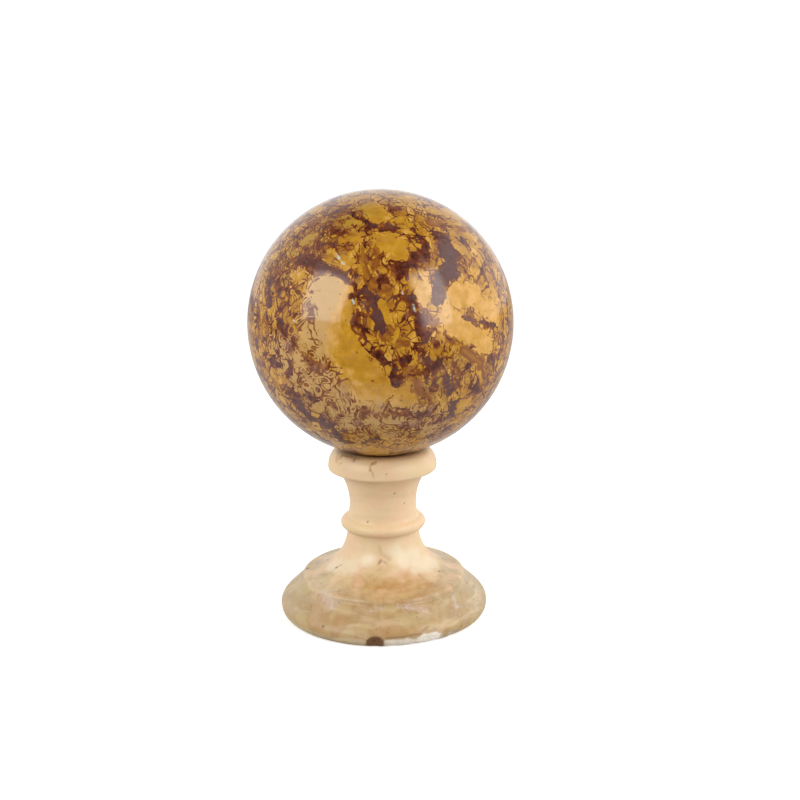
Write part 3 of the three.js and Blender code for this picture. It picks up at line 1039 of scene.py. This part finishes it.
def build_stand(context):
    settings = context.scene.ornament_stand
    step = 0.42 * MM
    profile = softened(stand_profile(settings, step), passes=2) / MM
    points, normals, faces = turned_mesh(profile, turns=360)
    azimuth = np.degrees(np.arctan2(points[:, 1], points[:, 0])) % 360
    height = points[:, 2]
    ground = 0.02
    side = (height > ground) & (height < profile[:, 1].max() - ground)

    wobble = noise_at(points, 11.0, 1) * 0.06 + noise_at(points, 3.0, 2) * 0.025
    sink = np.where(side, np.clip(0.09 + wobble, 0, 0.3), 0)

    broken = np.zeros(len(points))
    for chip_azimuth, chip_height, radius, depth in CHIPS:
        centre = spot_on_stand(profile, chip_azimuth, chip_height, radius - depth)
        scoop = scooped(points, normals, centre, radius)
        broken = np.maximum(broken, np.clip(scoop / 0.2, 0, 1))
        sink = np.maximum(sink, scoop)

    gritty = noise_at(points, 1.1, 3)
    rough = noise_at(points, 2.6, 4)
    band = BRUISED_EDGE
    along = np.clip(np.minimum(azimuth - band["start"], band["end"] - azimuth) / 4, 0, 1)
    below = np.clip((band["height"] + 0.9 * rough - height) / 0.7, 0, 1)
    knocked = along * below * (height > ground)
    sink += knocked * band["depth"] * np.clip(0.55 + 0.6 * gritty + 0.5 * rough, 0, 1.4)

    pit = np.zeros(len(points))
    for pit_azimuth, pit_height, radius, depth in PITS:
        gap = np.linalg.norm(points - spot_on_stand(profile, pit_azimuth, pit_height), axis=1)
        hollow = np.clip(1 - (gap / radius) ** 2, 0, 1)
        pit = np.maximum(pit, hollow)
        sink += depth * hollow

    crack = np.zeros(len(points))
    broken_up = np.clip(0.9 + 0.9 * gritty, 0.2, 1)
    for run, half_width, darkness in CRACKS:
        near = reach_on_stand(profile, points + 0.3 * rough[:, None], run, 0.0)
        reach = np.clip(1.2 + 1.2 * near / half_width, 0, 1)
        crack = np.maximum(crack, darkness * broken_up * reach)
    sink += 0.2 * crack
    pit = np.maximum(pit, crack)
    stain = np.zeros(len(points))
    blotchy = np.clip(0.8 + 0.8 * gritty, 0.2, 1)
    for run, half_width, darkness in STAINS:
        near = reach_on_stand(profile, points + 0.5 * rough[:, None], run, half_width)
        stain = np.maximum(stain, darkness * blotchy * np.clip(0.5 + near / 0.5, 0, 1))
    scar = covered(profile, points + 0.4 * rough[:, None], WHITE_SCARS, 0.5, 0.5)
    scar *= height > ground

    filler_azimuth, filler_height, filler_radius = FILLED_CHIP
    spot = spot_on_stand(profile, filler_azimuth, filler_height)
    gap = np.linalg.norm(points - spot, axis=1) + 0.4 * rough
    filler = np.clip((filler_radius - gap) / 0.35, 0, 1)
    bruise = np.clip(0.8 * knocked + 0.3 * broken + scar, 0, 1) * (1 - filler)

    # Painted shade on the front of the plate and foot, warm and darkest on the front, which gets
    # the least light
    warm = np.clip((90 - np.abs(azimuth - 283) * 2.2) / 30, 0, 1)
    front_shade = warm * np.clip(1.1 - np.abs(height + 0.8 * rough - 16.8) / 4.0, 0, 1)
    front_foot_shade = np.clip((62 - np.abs(azimuth - 272)) / 30, 0, 1) * (height > 3)
    front_foot_shade = front_foot_shade * np.clip((24 + 2 * rough - height) / 4, 0, 1)
    front_shade = np.maximum(front_shade, 0.75 * front_foot_shade * np.clip(0.8 + 0.5 * rough, 0, 1))
    crystal = covered(profile, points, CRYSTAL_POCKETS, 0.6, 2.5)
    pale = covered(profile, points + 1.2 * rough[:, None], PALE_PATCHES, 0.5, 2.5)

    points = points - normals * sink[:, None]
    fields = {
        "pale": pale,
        "bruise": bruise,
        "filler": filler,
        "pit": pit,
        "stain": stain,
        "front_shade": front_shade,
        "crystal": crystal,
    }
    stand = piece("turned_marble_stand", points * MM, faces, fields, cream_marble(settings))
    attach(stand, "root")
    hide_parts(STAND_NODE)


def softbox(name, azimuth, elevation, width, height, strength, mirrored=True):
    """A lit panel 0.8 m from the ball, at a direction in degrees with azimuth 0 at the front."""
    distance = 0.8
    a, e = math.radians(azimuth), math.radians(elevation)
    out = Vector((math.sin(a) * math.cos(e), -math.cos(a) * math.cos(e), math.sin(e)))
    light = bpy.data.lights.new(name, "AREA")
    light.shape = "RECTANGLE"
    light.size = 2 * distance * math.tan(math.radians(width / 2))
    light.size_y = 2 * distance * math.tan(math.radians(height / 2))
    light.energy = strength * math.pi * light.size * light.size_y
    lamp = bpy.data.objects.new(name, light)
    lamp.location = SPHERE_CENTRE + out * distance
    lamp.rotation_euler = (-out).to_track_quat("-Z", "Y").to_euler()
    lamp.visible_camera = False
    lamp.visible_glossy = mirrored
    bpy.context.scene.collection.objects.link(lamp)


def dark_opening():
    """The unlit mouth of the tent round the camera, as a curved card that the camera doesn't see.
    """
    columns, rows, distance = 12, 20, 0.95
    points, faces = [], []
    for j in range(rows + 1):
        for i in range(columns + 1):
            a = math.radians(-33 + 66 * i / columns)
            e = math.radians(-12 + 92 * j / rows)
            out = Vector((math.sin(a) * math.cos(e), -math.cos(a) * math.cos(e), math.sin(e)))
            points.append(SPHERE_CENTRE + out * distance)
    for j in range(rows):
        for i in range(columns):
            k = j * (columns + 1) + i
            faces.append((k, k + 1, k + columns + 2, k + columns + 1))
    mesh = bpy.data.meshes.new("tent_mouth")
    mesh.from_pydata([tuple(p) for p in points], [], faces)
    material, tree = new_material("unlit_cloth")
    weave = add(tree, "TexNoise", {"Scale": 400.0, "Detail": 2.0})
    tone = add(tree, "MixRGB", (weave, linear("#1A1918"), linear("#2C2A28")))
    shader = add(tree, "BsdfPrincipled", {"Base Color": tone, "Roughness": 0.9})
    finish_material(tree, shader)
    mesh.materials.append(material)
    card = bpy.data.objects.new("tent_mouth", mesh)
    card.visible_camera = False
    bpy.context.scene.collection.objects.link(card)


def build_studio(context):
    studio = context.scene.ornament_studio
    scene = context.scene

    # The camera sees a board that is burnt out to white but for the shadow at the foot. The ones
    # a hair below it mirror in the polish and light the stone from below.
    side = 12.0
    for name, depth, front, glow, rays in (
        ("studio_floor", 0.0, -side, 0.42, "camera"),
        ("mirrored_board", -0.0002, -0.16, 0.0, "glossy"),
        ("bounce_board", -0.0004, -side, 0.15, "diffuse"),
    ):
        seen = rays == "camera"
        mesh = bpy.data.meshes.new(name)
        corners = [(-side, front), (side, front), (side, side), (-side, side)]
        mesh.from_pydata([(x, y, depth) for x, y in corners], [], [(0, 1, 2, 3)])
        material, tree = new_material("matt_white_board")
        grain = add(tree, "TexNoise", {"Scale": 900.0, "Detail": 2.0})
        shades = ("#F6F6F6", "#FBFBFB") if seen else ("#D4D4D4", "#DADADA")
        tone = add(tree, "MixRGB", (grain, linear(shades[0]), linear(shades[1])))
        lit = {"Emission Color": (1, 1, 1, 1), "Emission Strength": glow}
        shader = add(tree, "BsdfPrincipled", {"Base Color": tone, "Roughness": 0.8, **lit})
        finish_material(tree, shader)
        mesh.materials.append(material)
        board = bpy.data.objects.new(name, mesh)
        board.visible_camera = seen
        board.visible_glossy = rays == "glossy"
        board.visible_diffuse = rays == "diffuse"
        board.visible_shadow = not seen
        scene.collection.objects.link(board)

    # A white tent, brightest at the back and on the right, dark in its open top and below the table
    world = bpy.data.worlds.new("white_tent")
    world.use_nodes = True
    tree = world.node_tree
    tree.nodes.clear()
    aim = add(tree, "TexCoord", out="Generated")
    rise = add(tree, "SeparateXYZ", (aim,), "Z")
    away = add(tree, "SeparateXYZ", (aim,), "Y")
    cloth = add(
        tree,
        "MapRange",
        (away, 0.55, 0.85, studio.tent, 1.05),
        interpolation_type="SMOOTHSTEP",
    )
    right = add(tree, "SeparateXYZ", (aim,), "X")
    wall = add(tree, "MapRange", (right, 0.2, 0.7, 0.0, studio.right_wall))
    cloth = add(tree, "Math", (cloth, wall), operation="MAXIMUM")
    open_top = add(tree, "MapRange", (rise, 0.72, 0.9), interpolation_type="SMOOTHSTEP")
    below = add(tree, "MapRange", (rise, -0.05, -0.2))
    dim = add(tree, "Math", (open_top, below), operation="MAXIMUM")
    level = add(tree, "Mix", {0: dim, 2: cloth, 3: studio.roof})
    backing = add(tree, "Background", ((1, 1, 1, 1), level))
    output = tree.nodes.new("ShaderNodeOutputWorld")
    tree.links.new(backing, output.inputs["Surface"])
    scene.world = world

    softbox("left_panel", -51, 26, 35, 35, studio.softboxes)
    softbox("right_panel", 47, 25, 27, 42, studio.softboxes)
    for name, azimuth, share in (("left_fill", -85, 1.0), ("right_fill", 85, 0.85)):
        softbox(name, azimuth, 20, 60, 60, share * studio.fill, mirrored=False)
    dark_opening()

    data = bpy.data.cameras.new("camera")
    data.lens = studio.lens
    data.sensor_width = 36.0
    camera = bpy.data.objects.new("camera", data)
    turn = (
        Matrix.Rotation(-studio.camera_yaw, 4, "Z")
        @ Matrix.Rotation(math.pi / 2 - studio.camera_pitch, 4, "X")
        @ Matrix.Rotation(-studio.camera_roll, 4, "Z")
    )
    camera.matrix_world = Matrix.Translation(camera_place(studio)) @ turn
    scene.collection.objects.link(camera)
    scene.camera = camera
    scene.view_settings.view_transform = "Standard"


class ORNAMENT_OT_build_sphere(Operator):
    """Make the polished ball of calligraphy stone."""

    bl_idname = "ornament.build_sphere"
    bl_label = "Stone Ball"

    def execute(self, context):
        build_sphere(context)
        return {"FINISHED"}


class ORNAMENT_OT_build_stand(Operator):
    """Make the turned marble stand."""

    bl_idname = "ornament.build_stand"
    bl_label = "Turned Stand"

    def execute(self, context):
        build_stand(context)
        return {"FINISHED"}


class ORNAMENT_OT_build_studio(Operator):
    """Make the floor, the lights and the camera."""

    bl_idname = "ornament.build_studio"
    bl_label = "Studio"

    def execute(self, context):
        build_studio(context)
        return {"FINISHED"}


class ORNAMENT_PT_panel(Panel):
    """Lists what the add-on builds."""

    bl_label = "Stone Sphere on a Stand"
    bl_idname = "ORNAMENT_PT_panel"
    bl_space_type = "VIEW_3D"
    bl_region_type = "UI"
    bl_category = "Ornament"

    def draw(self, context):
        scene = context.scene
        groups = (
            ("ornament.build_sphere", scene.ornament_sphere),
            ("ornament.build_stand", scene.ornament_stand),
            ("ornament.build_studio", scene.ornament_studio),
        )
        for operator, settings in groups:
            box = self.layout.box()
            box.operator(operator)
            for name in settings.__annotations__:
                box.prop(settings, name)


CLASSES = (
    SphereSettings,
    StandSettings,
    StudioSettings,
    ORNAMENT_OT_build_sphere,
    ORNAMENT_OT_build_stand,
    ORNAMENT_OT_build_studio,
    ORNAMENT_PT_panel,
)


def register():
    for each in CLASSES:
        bpy.utils.register_class(each)
    bpy.types.Scene.ornament_sphere = PointerProperty(type=SphereSettings)
    bpy.types.Scene.ornament_stand = PointerProperty(type=StandSettings)
    bpy.types.Scene.ornament_studio = PointerProperty(type=StudioSettings)


def unregister():
    del bpy.types.Scene.ornament_studio
    del bpy.types.Scene.ornament_stand
    del bpy.types.Scene.ornament_sphere
    for each in reversed(CLASSES):
        bpy.utils.unregister_class(each)


def main():
    register()
    bpy.ops.ornament.build_studio()
    bpy.ops.ornament.build_sphere()
    bpy.ops.ornament.build_stand()


if __name__ == "__main__":
    main()
